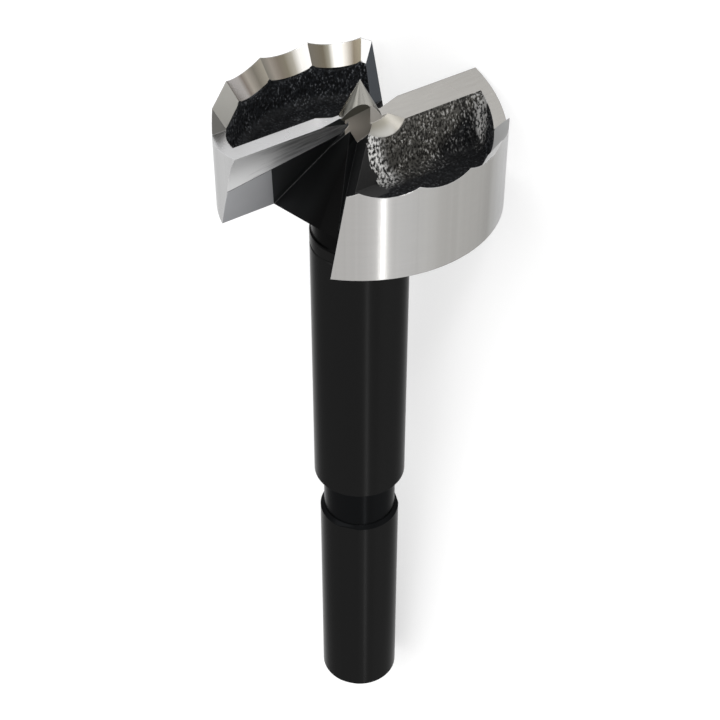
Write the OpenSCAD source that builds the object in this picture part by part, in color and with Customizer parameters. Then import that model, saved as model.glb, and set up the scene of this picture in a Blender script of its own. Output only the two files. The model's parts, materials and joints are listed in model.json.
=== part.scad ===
// Forstner bit with a wavy rim: one forged, turned and ground piece of steel that cuts to the right.
// It is modelled standing on its shank end, then laid down the way it comes to rest.

/* [Overall] */
// Cutting diameter
cut_d = 30; // [27:0.5:33]
// Length from the shank end to the tip of the spur
total_l = 88.9; // [84:0.1:100]

/* [Shank] */
// Diameter of the chuck end, three eighths of an inch
chuck_d = 9.525; // [8.5:0.005:10]
// Length of the chuck end below the groove
chuck_l = 30.4; // [24:0.1:32]
// Chamfer at the shank end
end_chamfer = 1; // [0.4:0.1:1.4]
// Chamfer at the upper end of the chuck end
chuck_chamfer = 0.4; // [0.2:0.05:0.6]
// Depth of each of the three flats below the round
flat_depth = 0.15; // [0.05:0.01:0.15]
// Turn of the first flat about the axis
flat_turn = -106; // [-180:1:180]
// Diameter of the groove between chuck end and body
groove_d = 8.6; // [7.5:0.05:9]
// Length of the groove
groove_l = 5.5; // [4:0.1:8]
// Diameter of the body shank
body_d = 10.8; // [10.2:0.05:12]
// Chamfer at the lower end of the body
body_chamfer = 0.35; // [0.2:0.05:0.6]
// Distance of the fine turned line below the head
line_drop = 5.5; // [4.8:0.1:7]
// Width of the fine turned line
line_w = 0.35; // [0.2:0.05:0.5]
// Depth of the fine turned line
line_t = 0.12; // [0.05:0.01:0.2]
// Diameter of the neck under the head
neck_d = 10.45; // [9.8:0.05:11]
// Length of the neck under the head
neck_l = 3.9; // [2.5:0.1:4.5]
// Fillet from the neck to the underside of the head
neck_fillet = 0.8; // [0.3:0.1:1.2]

/* [Head] */
// Height of the rim from its underside to the wave crests
head_h = 10.2; // [9.5:0.05:11]
// Height of the spur tip above the wave crests
spur_h = 3.5; // [3.2:0.1:4.2]
// Half angle of the spur's cone
spur_half = 27.7; // [25:0.1:31]
// Turn of the whole head about the axis
head_turn = 214.9; // [0:0.1:360]

/* [Wavy rim] */
// Angle of the inner bevel from the level
bevel_angle = 55; // [50:1:60]
// Radius of each scallop across the bevel
wave_r = 7.5; // [6.5:0.1:10]
// Angle from one wave crest to the next
wave_pitch = 22.64; // [21:0.02:24]
// Angle of the first crest behind the lip
wave_first = 57.4; // [54:0.1:60]
// Number of scallops on each half
wave_n = 5; // [5:1:6]
// Width of the bevel at the crests
bevel_w = 1.4; // [1.1:0.05:1.8]

/* [Lips] */
// Drop of the lip below the wave crests
lip_drop = 0.2; // [0:0.05:0.5]
// Distance of the lip ahead of the axis
lip_ahead = 0.4; // [0.2:0.05:0.6]
// Relief angle behind the lip
lip_relief = 14.6; // [12:0.1:16]
// Width of the ground band behind the lip
lip_land = 3; // [2.6:0.1:3.4]
// Length of the relief plane behind the lip, along the rim
relief_run = 8.1; // [7.6:0.1:8.6]
// Run of the steep end of the relief up to the last tooth
relief_end = 1.9; // [1.5:0.1:2.4]
// Undercut angle of the leading face
lip_undercut = 22.4; // [19:0.1:25]
// Depth of the hollow-ground rake face at the rim
rake_outer = 5; // [4:0.1:6]
// Depth of the hollow-ground rake face at the spur
rake_inner = 1.8; // [1.4:0.1:2.2]
// Radius of the hollow at the rim
rake_r = 12; // [9:0.5:20]
// Start of the hollow beside the spur
rake_from = 1.4; // [1:0.1:2]

/* [Chip gaps] */
// Angle from the lip to the trailing corner of the other half, at the crests
gap_angle = 50.5; // [47:0.5:54]
// Direction of the trailing face, from the lip
trail_dir = 44.6; // [43:0.1:46]
// Lean of the trailing face
trail_lean = 9.3; // [7:0.1:11]
// Distance of the ramp from the axis at the underside
ramp_out = 7.4; // [7:0.1:8]
// Turn of the ramp from the lip
ramp_turn = 11.2; // [8:0.1:14]
// Slope of the ramp from the upright
ramp_slope = 36.7; // [35:0.1:38]
// Distance of the ground flat on the spur from the axis
spur_flat = 0.8; // [0.7:0.05:1]
// Turn of the ground flat from the lip
spur_flat_turn = 55.1; // [50:0.1:60]
// Distance of the brow over that flat from the axis, at the crests
brow_out = 0.73; // [0.65:0.01:0.8]
// Turn of the brow from the lip
brow_turn = 66.2; // [62:0.1:70]
// Overhang angle of the brow
brow_lean = 18.1; // [15:0.1:21]
// Depth of the ground flat below the crests
gullet_drop = 3.35; // [2.8:0.05:3.8]
// Turn of the steep side of the gullet
gullet_turn = 107; // [100:1:112]
// Slope of the steep side of the gullet from the upright
gullet_slope = 23.1; // [20:0.1:26]
// Distance of the steep side from the axis at the gullet's upper end
gullet_out = 0.28; // [0.2:0.02:0.4]
// Turn of the gullet's foot from the lip
foot_turn = 2.4; // [0:0.2:5]
// Slope of the gullet's foot from the upright
foot_slope = 42; // [40:0.5:44]
// Distance of the foot from the axis at the gullet's upper end
foot_out = 0.7; // [0.6:0.05:0.9]
// Turn of the ground facet on the trailing end of the rim
rim_end_turn = 25; // [15:1:32]
// Depth of that facet below the pocket's floor
rim_end_drop = 1.2; // [0.6:0.1:1.8]

/* [Pockets] */
// Depth of the forged pocket below the crests
pocket_depth = 6.4; // [5:0.1:7]
// Draft of the rim's inner wall
rim_draft = 4; // [2:0.5:8]
// Draft of the wall behind the lip
lip_draft = 15; // [10:0.5:20]
// Radius of the ground notch beside the spur
notch_r = 3.55; // [3.3:0.05:3.8]
// Distance of the notch from the axis along the lip, at its back wall
notch_out = 0.1; // [0:0.05:0.3]
// Height of the notch's centre above the crests, at its back wall
notch_up = 3.05; // [2.9:0.05:3.2]
// Distance of the notch's back wall behind the axis
notch_back = 1.25; // [1.15:0.05:1.4]
// Turn of the notch from square to the lip
notch_turn = 23.3; // [18:0.1:28]
// Dip of the notch away from the lip
notch_dip = 28.8; // [25:0.1:33]
// Length of the notch
notch_l = 5; // [4:0.1:6]

/* [Hidden] */
$fn = 96;
half_turn = 180;
quarter = 90;
halves = [0, half_turn];
flat_step = 120;
flats = [0, flat_step, 2 * flat_step];
r_cut = cut_d / 2;
r_chuck = chuck_d / 2;
r_groove = groove_d / 2;
r_body = body_d / 2;
r_neck = neck_d / 2;
big = 4 * cut_d;
lap = 0.5;
z_crest = total_l - spur_h;
z_low = z_crest - head_h;
z_lip = z_crest - lip_drop;
z_floor = z_crest - pocket_depth;
z_body = chuck_l + groove_l;
z_neck = z_low - neck_l;
z_line = z_low - line_drop;
neck_step = r_body - r_neck;
// Scallop axis: its distance above the bevel, so that neighbours meet in a crest at full height
wave_half = wave_pitch / 2;
wave_side = r_cut * sin(wave_half);
wave_up = r_cut * sin(bevel_angle) * (1 - cos(wave_half)) + sqrt(wave_r * wave_r - wave_side * wave_side);
wave_in = 1.2;
// Pocket wall: it starts where the bevel ends
pocket_top_r = r_cut - bevel_w;
pocket_top_z = z_crest - bevel_w * tan(bevel_angle);
// Lip: relief plane, its end and the tooth
band_w = lip_land - lip_ahead;
band_z = z_lip - lip_land * tan(lip_relief);
relief_low_z = z_lip - relief_run * tan(lip_relief);
relief_end_w = relief_run + relief_end;
relief_slope = (z_crest - relief_low_z) / relief_end;
// Rake hollow: a cone whose two edges lie in the leading face
face_long = 1 / cos(lip_undercut);
rake_grow = (rake_outer - rake_inner) * face_long / r_cut;
rake_apex = rake_inner * face_long / rake_grow;
rake_fan = atan(rake_grow) / 2;
rake_len = (r_cut + rake_apex) / cos(rake_fan);
rake_cone = atan(rake_r / rake_len);
rake_tip = acos(cos(rake_cone) / cos(rake_fan));
rake_skin = 1.2;
rake_lap = 0.05;
// The hollow reaches a hair over the lip, so that the lip is one clean edge
rake_over = 0.08;
// Trailing face: it passes through the trailing corner at the crests
trail_turn = trail_dir - quarter;
trail_out = r_cut * cos(gap_angle - trail_turn);
// Facet on the end of the rim wall: it shares the outer edge of the trailing face
low_shift = head_h * tan(trail_lean);
trail_low = trail_turn + acos((trail_out + low_shift) / r_cut);
end_turn = trail_turn - rim_end_turn;
end_lean = atan(r_cut * (cos(trail_low - end_turn) - cos(gap_angle - end_turn)) / head_h);
end_reach = 4;
// Rest: the lip of one half, the trailing corner of the other and the shank end touch the floor
rest_lip = asin(lip_ahead / r_cut);
rest_r = r_chuck;
rest_z = end_chamfer;
lip_up = z_lip - rest_z;
low_up = z_low - rest_z;
rest_a = r_cut * (cos(rest_lip) * low_up - cos(trail_low) * lip_up);
rest_b = r_cut * (sin(rest_lip) * low_up - sin(trail_low) * lip_up);
rest_c = rest_r * (low_up - lip_up);
rest_turn = atan2(rest_b, rest_a) + acos(rest_c / sqrt(rest_a * rest_a + rest_b * rest_b));
rest_tilt = atan((r_cut * cos(rest_turn - rest_lip) - rest_r) / lip_up);
down_turn = head_turn + half_turn + rest_turn;
lift = rest_r * cos(rest_tilt) - rest_z * sin(rest_tilt);
slide = (total_l * cos(rest_tilt) - (r_chuck - end_chamfer) * sin(rest_tilt)) / 2;

// A big block that fills one side of a plane; the plane stands at `out` where the height is `z`
module side_of(turn, out, z, lean) {
  rotate([0, 0, turn]) translate([out, 0, z]) rotate([0, lean, 0])
    translate([0, -big / 2, -big / 2]) cube(big);
}

// Turned shank: chuck end, groove, body, fine line and neck
module shank() {
  difference() {
    rotate_extrude() polygon([
      [0, 0], [r_chuck - end_chamfer, 0], [r_chuck, end_chamfer], [r_chuck, chuck_l - chuck_chamfer],
      [r_chuck - chuck_chamfer, chuck_l], [r_groove, chuck_l], [r_groove, z_body],
      [r_body - body_chamfer, z_body], [r_body, z_body + body_chamfer],
      [r_body, z_line - line_w], [r_body - line_t, z_line - line_w / 2], [r_body, z_line],
      [r_body, z_neck - neck_step], [r_neck, z_neck], [r_neck, z_low + lap], [0, z_low + lap]
    ]);
    for (a = flats) rotate([0, 0, flat_turn + a])
      translate([r_chuck - flat_depth, -r_chuck, -lap]) cube([r_chuck, chuck_d, chuck_l + lap]);
  }
  rotate_extrude() difference() {
    translate([r_neck - lap, z_low - neck_fillet]) square([neck_fillet + lap, neck_fillet + lap]);
    translate([r_neck + neck_fillet, z_low - neck_fillet]) circle(r = neck_fillet);
  }
}

// One gap: leading face, ramp and trailing face, then the narrow gullet under the spur's flat
module chip_gap() {
  intersection() {
    side_of(quarter, lip_ahead, z_lip, lip_undercut);
    side_of(ramp_turn, ramp_out, z_low, -ramp_slope);
    side_of(trail_turn, trail_out, z_crest, -trail_lean);
    side_of(spur_flat_turn, spur_flat, z_crest, 0);
    side_of(brow_turn, brow_out, z_crest, brow_lean);
  }
  intersection() {
    side_of(spur_flat_turn, spur_flat, z_crest, 0);
    side_of(brow_turn, brow_out, z_crest, brow_lean);
    side_of(gullet_turn, gullet_out, z_crest - gullet_drop, -gullet_slope);
    side_of(foot_turn, foot_out, z_crest - gullet_drop, -foot_slope);
    side_of(trail_turn, trail_out, z_crest, -trail_lean);
  }
}

// Ground facet on the trailing end of the other half's rim wall
module rim_end() {
  intersection() {
    side_of(end_turn, r_cut * cos(gap_angle - end_turn), z_crest, -end_lean);
    rotate([0, 0, gap_angle]) translate([r_cut, 0, z_floor - rim_end_drop])
      cylinder(h = rim_end_drop + pocket_depth + spur_h, r = end_reach);
  }
}

// Relief behind the lip: one plane that ends in the last tooth of the wave
module lip_relief_cut() {
  translate([0, lip_ahead, 0]) rotate([quarter, 0, quarter]) linear_extrude(cut_d) polygon([
    [lap, z_lip + lap * tan(lip_relief)], [-relief_run, relief_low_z],
    [-relief_end_w - spur_h / relief_slope, z_crest + spur_h], [lap, z_crest + spur_h]
  ]);
}

// Hollow-ground rake face: a cone laid against the leading face, its point beyond the spur
module rake_hollow() {
  intersection() {
    translate([-rake_apex, lip_ahead, z_lip]) rotate([-lip_undercut, 0, 0])
      translate([0, 0, rake_over]) rotate([0, rake_fan, 0]) rotate([0, 0, rake_tip])
        rotate([0, quarter, 0]) cylinder(h = 2 * rake_len, r1 = 0, r2 = 2 * rake_len * tan(rake_cone));
    translate([rake_from, lip_ahead, z_lip]) rotate([-lip_undercut, 0, 0])
      translate([0, -rake_skin, -head_h]) cube([cut_d, rake_skin + rake_lap, head_h + lap]);
  }
}

// Forged pocket: open at its trailing end
module pocket() {
  intersection() {
    translate([0, 0, z_floor]) cylinder(
      h = z_crest - z_floor + spur_h,
      r1 = pocket_top_r - (pocket_top_z - z_floor) * tan(rim_draft),
      r2 = pocket_top_r + (z_crest + spur_h - pocket_top_z) * tan(rim_draft)
    );
    side_of(-quarter, band_w, band_z, -lip_draft);
  }
}

// Scallops that cut the wavy edge and its inner bevel
module waves() {
  difference() {
    for (k = [0 : wave_n - 1]) rotate([0, 0, wave_half - wave_first - k * wave_pitch])
      translate([r_cut, 0, z_crest]) rotate([0, -bevel_angle, 0])
        translate([-r_cut / 2, 0, wave_up]) rotate([0, quarter, 0]) cylinder(h = r_cut, r = wave_r);
    translate([0, 0, z_low]) cylinder(h = 2 * cut_d, r = pocket_top_r - wave_in);
  }
}

// Ground notch that thins the spur behind the lip: a slanting round groove with an upright back wall
module notch() {
  intersection() {
    side_of(-quarter, notch_back, z_crest, 0);
    translate([notch_out, -notch_back, z_crest + notch_up]) rotate([0, 0, notch_turn])
      rotate([quarter + notch_dip, 0, 0]) translate([0, 0, -notch_r])
        cylinder(h = notch_l + notch_r, r = notch_r);
  }
}

// Both halves of the head with the spur in the middle
module head() {
  rotate([0, 0, head_turn]) difference() {
    union() {
      difference() {
        translate([0, 0, z_low]) cylinder(h = head_h, r = r_cut);
        for (a = halves) rotate([0, 0, a]) lip_relief_cut();
      }
      translate([0, 0, z_crest - spur_h])
        cylinder(h = 2 * spur_h, r1 = 2 * spur_h * tan(spur_half), r2 = 0);
    }
    for (a = halves) rotate([0, 0, a]) {
      chip_gap();
      rim_end();
      rake_hollow();
      pocket();
      waves();
      notch();
    }
  }
}

// Lay the bit down on one lip, one trailing corner and the shank end
module lay_down() {
  translate([-slide, 0, lift]) rotate([0, -rest_tilt, 0]) rotate([0, quarter, 0])
    rotate([0, 0, -down_turn]) children();
}

module forstner_bit() {
  color([0.62, 0.62, 0.63]) lay_down() union() {
    shank();
    head();
  }
}

forstner_bit();
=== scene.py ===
# %% [markdown]
# # A forstner bit, dressed
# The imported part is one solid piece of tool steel: shank, head, lips and spur. Its shape is already right,
# so it stays as it is and gets its finishes here: bright ground steel on the cutting faces, black oxide on
# the shank and in the gaps, and a rough forged crust inside the two pockets. Only the crust needs new
# geometry.

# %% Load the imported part
import json
import math

import bpy
import numpy as np
from mathutils import Matrix


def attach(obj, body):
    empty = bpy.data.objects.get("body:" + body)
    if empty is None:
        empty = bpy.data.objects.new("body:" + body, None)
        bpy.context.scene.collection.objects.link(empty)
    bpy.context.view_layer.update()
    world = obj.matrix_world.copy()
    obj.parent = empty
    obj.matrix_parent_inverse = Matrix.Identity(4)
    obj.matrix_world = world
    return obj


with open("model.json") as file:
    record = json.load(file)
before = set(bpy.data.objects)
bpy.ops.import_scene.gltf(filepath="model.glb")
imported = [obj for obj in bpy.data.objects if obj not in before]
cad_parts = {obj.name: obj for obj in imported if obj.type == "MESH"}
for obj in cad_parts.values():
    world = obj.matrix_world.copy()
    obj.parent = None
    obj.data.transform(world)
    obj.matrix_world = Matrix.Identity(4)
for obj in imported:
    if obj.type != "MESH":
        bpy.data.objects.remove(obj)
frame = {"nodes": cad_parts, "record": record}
scene = bpy.context.scene
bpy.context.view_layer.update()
bit = frame["nodes"]["forstner_bit"]

# %% [markdown]
# ## The bit's own axes
# The bit lies tilted on the floor, so its grinding is easier to describe in its own frame: `lip` points
# along one cutting lip, `ahead` points the way that lip turns, and `axis` runs from the shank end to the
# spur. The axis comes from the record's shank mount. The turn about it is the one value that the record
# doesn't hold.

# %% The frame of one half of the head
MM = 0.001
LIP_FROM_UP = math.radians(-16.7405)

mounts = {m["name"]: m for m in frame["record"]["mounts"]}
shank_end = np.array(mounts["shank_end"]["pos_m"], float)
axis = -np.array(mounts["shank_end"]["axis"], float)
axis /= np.linalg.norm(axis)
upward = np.array([0.0, 0.0, 1.0]) - axis[2] * axis
upward /= np.linalg.norm(upward)
lip = math.cos(LIP_FROM_UP) * upward + math.sin(LIP_FROM_UP) * np.cross(axis, upward)
ahead = np.cross(axis, lip)


def to_row(points):
    """Points (along the lip, ahead of it, up the axis) in mm, carried into the row's frame in metres."""
    return shank_end + np.asarray(points, float) @ np.array([lip, ahead, axis]) * MM


print("axis", axis.round(4), "lip", lip.round(4), "ahead", ahead.round(4))

# %% [markdown]
# ## The camera
# The picture shows the bit upright. It can't stand on its shank, so the camera is turned with it instead:
# it looks down on the lying bit from the side that the picture shows. Its place comes from fitting known
# circles of the head and shank. The small sideways shift only keeps the bit where the picture has it.

# %% Camera
VIEW_TURN = math.radians(90 - 214.9)
VIEW_RISE = math.radians(39.8437)
VIEW_YAW = math.radians(-0.8854)
VIEW_ROLL = math.radians(0.0836)
VIEW_BACK, VIEW_HEIGHT = 139.731, 169.269
FOCAL_PX, PICTURE_PX, SENSOR = 1602.276, 720, 36.0
AXIS_PX = 334.847

back = np.array([math.cos(VIEW_TURN), math.sin(VIEW_TURN), 0.0])
across = np.array([back[1], -back[0], 0.0])
level = math.cos(VIEW_RISE) * back - np.array([0, 0, math.sin(VIEW_RISE)])
top = math.sin(VIEW_RISE) * back + np.array([0, 0, math.cos(VIEW_RISE)])
look = math.cos(VIEW_YAW) * level + math.sin(VIEW_YAW) * across
side = math.cos(VIEW_YAW) * across - math.sin(VIEW_YAW) * level
right = math.cos(VIEW_ROLL) * side + math.sin(VIEW_ROLL) * top
above = math.cos(VIEW_ROLL) * top - math.sin(VIEW_ROLL) * side

camera = bpy.data.objects.new("camera", bpy.data.cameras.new("camera"))
scene.collection.objects.link(camera)
turned = np.array([right, above, -look]) @ np.array([lip, ahead, axis])
pose = np.eye(4)
pose[:3, :3] = turned.T
pose[:3, 3] = to_row(-VIEW_BACK * back + np.array([0, 0, VIEW_HEIGHT]))
camera.matrix_world = Matrix(pose.tolist())
camera.data.sensor_width = SENSOR
camera.data.lens = FOCAL_PX / PICTURE_PX * SENSOR
camera.data.shift_x = 0.5 - AXIS_PX / PICTURE_PX
camera.data.clip_start = 0.01
scene.camera = camera
print("camera at", pose[:3, 3].round(4), "lens", round(camera.data.lens, 2))

# %% [markdown]
# ## Wiring shader nodes
# A finish is a tree of nodes. These few helpers add a node, set or link its sockets and hand back its
# output, so that a formula reads as one line. Effects that several finishes share become node groups.

# %% Helpers for node trees


class Wires:
    """Adds nodes to one tree; a socket given as a value becomes a link, anything else a setting."""

    def __init__(self, tree):
        self.tree = tree

    def node(self, kind, sockets, **settings):
        made = self.tree.nodes.new(kind)
        for key, value in settings.items():
            setattr(made, key, value)
        for key, value in sockets.items():
            if isinstance(value, bpy.types.NodeSocket):
                self.tree.links.new(value, made.inputs[key])
            else:
                made.inputs[key].default_value = value
        return made

    def group(self, tree, **sockets):
        return self.node("ShaderNodeGroup", sockets, node_tree=tree).outputs

    def send(self, made, values):
        for label, value in values.items():
            self.tree.links.new(value, made[label])

    def calc(self, operation, *values):
        return self.node("ShaderNodeMath", dict(enumerate(values)), operation=operation).outputs[0]

    def plus(self, first, second):
        return self.calc("ADD", first, second)

    def less(self, first, second):
        return self.calc("SUBTRACT", first, second)

    def times(self, first, second):
        return self.calc("MULTIPLY", first, second)

    def over(self, value, limit):
        return self.calc("GREATER_THAN", value, limit)

    def under(self, value, limit):
        return self.calc("LESS_THAN", value, limit)

    def between(self, value, low, high):
        """1 where low < value < high."""
        return self.times(self.over(value, low), self.under(value, high))

    def ease(self, value, low, high):
        """0 at low, 1 at high, smooth between; low may be the higher one."""
        sockets = {0: value, 1: low, 2: high}
        return self.node("ShaderNodeMapRange", sockets, interpolation_type="SMOOTHSTEP").outputs[0]

    def both(self, *masks):
        mask = masks[0]
        for other in masks[1:]:
            mask = self.times(mask, other)
        return mask

    def either(self, *masks):
        mask = masks[0]
        for other in masks[1:]:
            mask = self.calc("MAXIMUM", mask, other)
        return mask

    def vector(self, operation, *values):
        made = self.node("ShaderNodeVectorMath", dict(enumerate(values)), operation=operation)
        return made.outputs["Value" if operation in ("DOT_PRODUCT", "LENGTH") else "Vector"]

    def join(self, x, y, z):
        return self.node("ShaderNodeCombineXYZ", {0: x, 1: y, 2: z}).outputs[0]

    def split(self, vector):
        return self.node("ShaderNodeSeparateXYZ", {0: vector}).outputs

    def mix(self, share, first, second):
        return self.node("ShaderNodeMix", {0: share, 2: first, 3: second}).outputs[0]

    def colour(self, share, first, second, blend="MIX"):
        sockets = {0: share, 6: first, 7: second}
        return self.node("ShaderNodeMix", sockets, data_type="RGBA", blend_type=blend).outputs[2]

    def ramp(self, value, stops):
        """A colour that runs through the stops, each a place from 0 to 1 and a colour."""
        made = self.node("ShaderNodeValToRGB", {0: value})
        marks = made.color_ramp.elements
        while len(marks) < len(stops):
            marks.new(1.0)
        for mark, (place, shade) in zip(marks, stops):
            mark.position, mark.color = place, shade
        return made.outputs[0]

    def noise(self, vector, scale, detail):
        sockets = {"Vector": vector, "Scale": scale, "Detail": detail}
        return self.node("ShaderNodeTexNoise", sockets).outputs[0]


print("wires ready")

# %% [markdown]
# ## Groups, materials and greys
# Node groups and materials both start out as an empty tree, and most tones here are greys with a slight
# tint, so each gets a short helper.

# %% Helpers for groups and materials


def shader_group(name, inputs, outputs):
    """A new group with named sockets, its wires, its input sockets and its output sockets."""
    tree = bpy.data.node_groups.new(name, "ShaderNodeTree")
    for way, sockets in (("INPUT", inputs), ("OUTPUT", outputs)):
        for label, kind in sockets.items():
            tree.interface.new_socket(label, in_out=way, socket_type="NodeSocket" + kind)
    given = tree.nodes.new("NodeGroupInput").outputs
    return tree, Wires(tree), given, tree.nodes.new("NodeGroupOutput").inputs


def empty_material(name):
    """A new material with an empty node tree, and its wires."""
    material = bpy.data.materials.new(name)
    material.use_nodes = True
    material.node_tree.nodes.clear()
    return material, Wires(material.node_tree)


def grey(value, tint=(0.0, 0.0, 0.0)):
    """A grey as a colour; the tint is the share by which red, green and blue go up or down."""
    return tuple(value * (1 + t) for t in tint) + (1.0,)


print("helpers ready")

# %% [markdown]
# ## Where a spot is on the bit
# Each finish has to know which face it is on. Painting masks by hand would be lost when the part is packed
# again, so this group works the place out instead. It turns a point and its normal into the frame of the
# half of the head that it belongs to, so that one description serves both halves, and gives the distance
# from the axis and the angle behind the lip. The halves part at a line a little ahead of the lips.

# %% Group: spot on the bit
HALF_LINE = math.radians(22)
NEAREST = 0.01

spot_group, w, given, made = shader_group(
    "bit_spot",
    {"Place": "Vector", "Facing": "Vector"},
    {
        "Spot": "Vector",
        "Facing": "Vector",
        "Radius": "Float",
        "Angle": "Float",
        "Outward": "Float",
        "Half": "Float",
    },
)
offset = w.vector("SUBTRACT", given["Place"], tuple(shank_end))
ways = (lip, ahead, axis)
along, forth, height = (w.vector("DOT_PRODUCT", offset, tuple(way / MM)) for way in ways)
turned_u, turned_w, turned_z = (w.vector("DOT_PRODUCT", given["Facing"], tuple(way)) for way in ways)
beyond = w.less(w.times(forth, math.cos(HALF_LINE)), w.times(along, math.sin(HALF_LINE)))
half = w.less(1.0, w.times(2.0, w.over(beyond, 0.0)))
spot_u, spot_w, face_u, face_w = (w.times(half, v) for v in (along, forth, turned_u, turned_w))
radius = w.vector("LENGTH", w.join(along, forth, 0.0))
pointing = w.plus(w.times(spot_u, face_u), w.times(spot_w, face_w))
w.send(
    made,
    {
        "Spot": w.join(spot_u, spot_w, height),
        "Facing": w.join(face_u, face_w, turned_z),
        "Radius": radius,
        "Angle": w.calc("DEGREES", w.calc("ARCTAN2", spot_w, spot_u)),
        "Outward": w.calc("DIVIDE", pointing, w.calc("MAXIMUM", radius, NEAREST)),
        "Half": half,
    },
)
print("group", spot_group.name, "with", len(spot_group.nodes), "nodes")

# %% [markdown]
# ## Which way the faces point
# The ground faces are planes, cones and cylinders with known directions, so a face is told by its normal,
# with its place where two faces point the same way. The sizes are those of the part, in millimetres up from
# the shank end.

# %% Sizes and directions of the faces
CREST, LIP_TOP, UNDERSIDE, FLOOR = 85.4, 85.2, 75.2, 79.0
HEAD_R, AHEAD = 15.0, 0.4
LIP_RELIEF, SAME_WAY, SKIN = 14.6, 0.996, 0.012


def leaning(turn, lean):
    """Unit normal at `turn` degrees about the axis, pointing `lean` degrees up."""
    turn, lean = math.radians(turn), math.radians(lean)
    return (math.cos(lean) * math.cos(turn), math.cos(lean) * math.sin(turn), math.sin(lean))


def half_turn(way):
    """The same direction on the other half of the head."""
    return (-way[0], -way[1], way[2])


LEADING, RELIEF, RELIEF_END = leaning(90, -22.4), leaning(-90, 90 - LIP_RELIEF), leaning(90, 39.4)
RIM_END, LIP_BACK = leaning(109.6, 8.26), leaning(-90, 15)
SPUR_FLAT, BROW = leaning(55.1, 0), leaning(66.2, -18.1)
WEB_RAMP, WEB_BACK = leaning(11.2, 36.7), leaning(-73, 23.1)
NOTCH_R, NOTCH_BACK = 3.55, -1.25
NOTCH_FROM, NOTCH_WAY, NOTCH_WALL = (0.1, NOTCH_BACK, 88.45), leaning(23.3 - 90, -28.8), (0.0, -1.0, 0.0)
print("the lip's relief points", np.round(RELIEF, 3))

# %% [markdown]
# ## Masks of the ground faces
# A grinder has touched the land round the head, the lips, the scallops of the rim, the rake hollow under
# each lip, the flat front below it, the rim's end, and the spur with its flats and notches. Each gets a
# mask that is 1 on it.

# %% Group: ground faces
GROUND = ("Land", "Lips", "Waves", "Rim end", "Rake", "Blank", "Spur", "Spur flat", "Brow", "Notch")
LAND_DEPTH = 0.06
WAVE_R_IN, WAVE_LOW = 13.3, 81.5
RAKE_FROM, BLANK_FROM, BLANK_LEAN = 1.3, 8.3, 0.27
SPUR_R, SPUR_FOOT, HUB_R, HUB_LOW = 4.0, 84.9, 6.0, 82.5
FLAT_END, FLAT_LOW = 1.7, 80.0

face_group, w, given, made = shader_group(
    "bit_faces",
    {"Spot": "Vector", "Facing": "Vector", "Radius": "Float", "Outward": "Float"},
    {label: "Float" for label in GROUND + ("Forged", "Smooth", "Ridge")},
)
spot_u, spot_w, spot_z = w.split(given["Spot"])
face_z = w.split(given["Facing"])[2]


def likeness(way):
    """How nearly the face points `way`: 1 where it does."""
    return w.vector("DOT_PRODUCT", given["Facing"], way)


def faces(way):
    """Mask of the faces that point `way`."""
    return w.over(likeness(way), SAME_WAY)


in_head = w.over(spot_z, UNDERSIDE + 0.01)
on_round = w.both(w.over(given["Radius"], HEAD_R - LAND_DEPTH), w.over(given["Outward"], 0.9))
land = w.both(w.either(on_round, w.over(given["Radius"], HEAD_R - SKIN)), in_head)
inside_rim = w.both(w.over(given["Radius"], WAVE_R_IN), w.under(given["Outward"], -0.4))
waves = w.both(inside_rim, w.between(face_z, 0.25, 0.9), w.over(spot_z, WAVE_LOW))
lead_depth = w.vector("DOT_PRODUCT", w.vector("SUBTRACT", given["Spot"], (0.0, AHEAD, LIP_TOP)), LEADING)
rake = w.both(w.over(likeness(LEADING), 0.94), w.under(lead_depth, -SKIN), w.over(spot_u, RAKE_FROM))
blank_from = w.plus(BLANK_FROM, w.times(BLANK_LEAN, w.less(spot_z, UNDERSIDE)))
blank = w.both(faces(LEADING), w.over(lead_depth, -SKIN), w.over(spot_u, blank_from))
cone = w.both(w.between(face_z, 0.30, 0.75), w.over(given["Outward"], 0.6))
spur = w.both(w.under(given["Radius"], SPUR_R), w.over(spot_z, SPUR_FOOT), cone)
flat_way = w.over(w.calc("ABSOLUTE", likeness(SPUR_FLAT)), SAME_WAY)
in_hub = w.under(given["Radius"], HUB_R)
spur_flat = w.both(flat_way, w.over(spot_z, FLAT_LOW), w.under(spot_u, FLAT_END), in_hub)
near_axis = w.both(in_hub, w.over(spot_z, HUB_LOW))
brow = w.both(w.either(faces(BROW), faces(half_turn(BROW))), near_axis)
notch_off = w.vector("CROSS_PRODUCT", w.vector("SUBTRACT", given["Spot"], NOTCH_FROM), NOTCH_WAY)
on_notch = w.between(w.vector("LENGTH", notch_off), NOTCH_R - 0.06, NOTCH_R + 0.04)
notch_round = w.both(on_notch, w.under(spot_w, NOTCH_BACK + 0.02))
notch = w.both(w.either(notch_round, faces(NOTCH_WALL)), near_axis)
lips = w.either(faces(RELIEF), faces(RELIEF_END))
ground_masks = (land, lips, waves, faces(RIM_END), rake, blank, spur, spur_flat, brow, notch)
w.send(made, dict(zip(GROUND, ground_masks)))
print(len(ground_masks), "ground faces")

# %% [markdown]
# ## Masks of the forged faces
# The pocket's walls and floor were never ground. Beside the web the floor and the wall behind the lip are
# smooth and dark instead of scaly, and one ridge of the web gets a thin painted highlight line, so both get
# masks of their own.

# %% Group: forged faces
WALL_R, WALL_STEEP = (12.9, 13.9), 0.24
SMOOTH_END, SMOOTH_FLOOR = (-1.2, -0.15), -6.0
RIDGE_LOW, RIDGE_TOP = np.array([8.3, -3.6, 75.2]), np.array([1.5, -0.3, 83.3])

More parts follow.
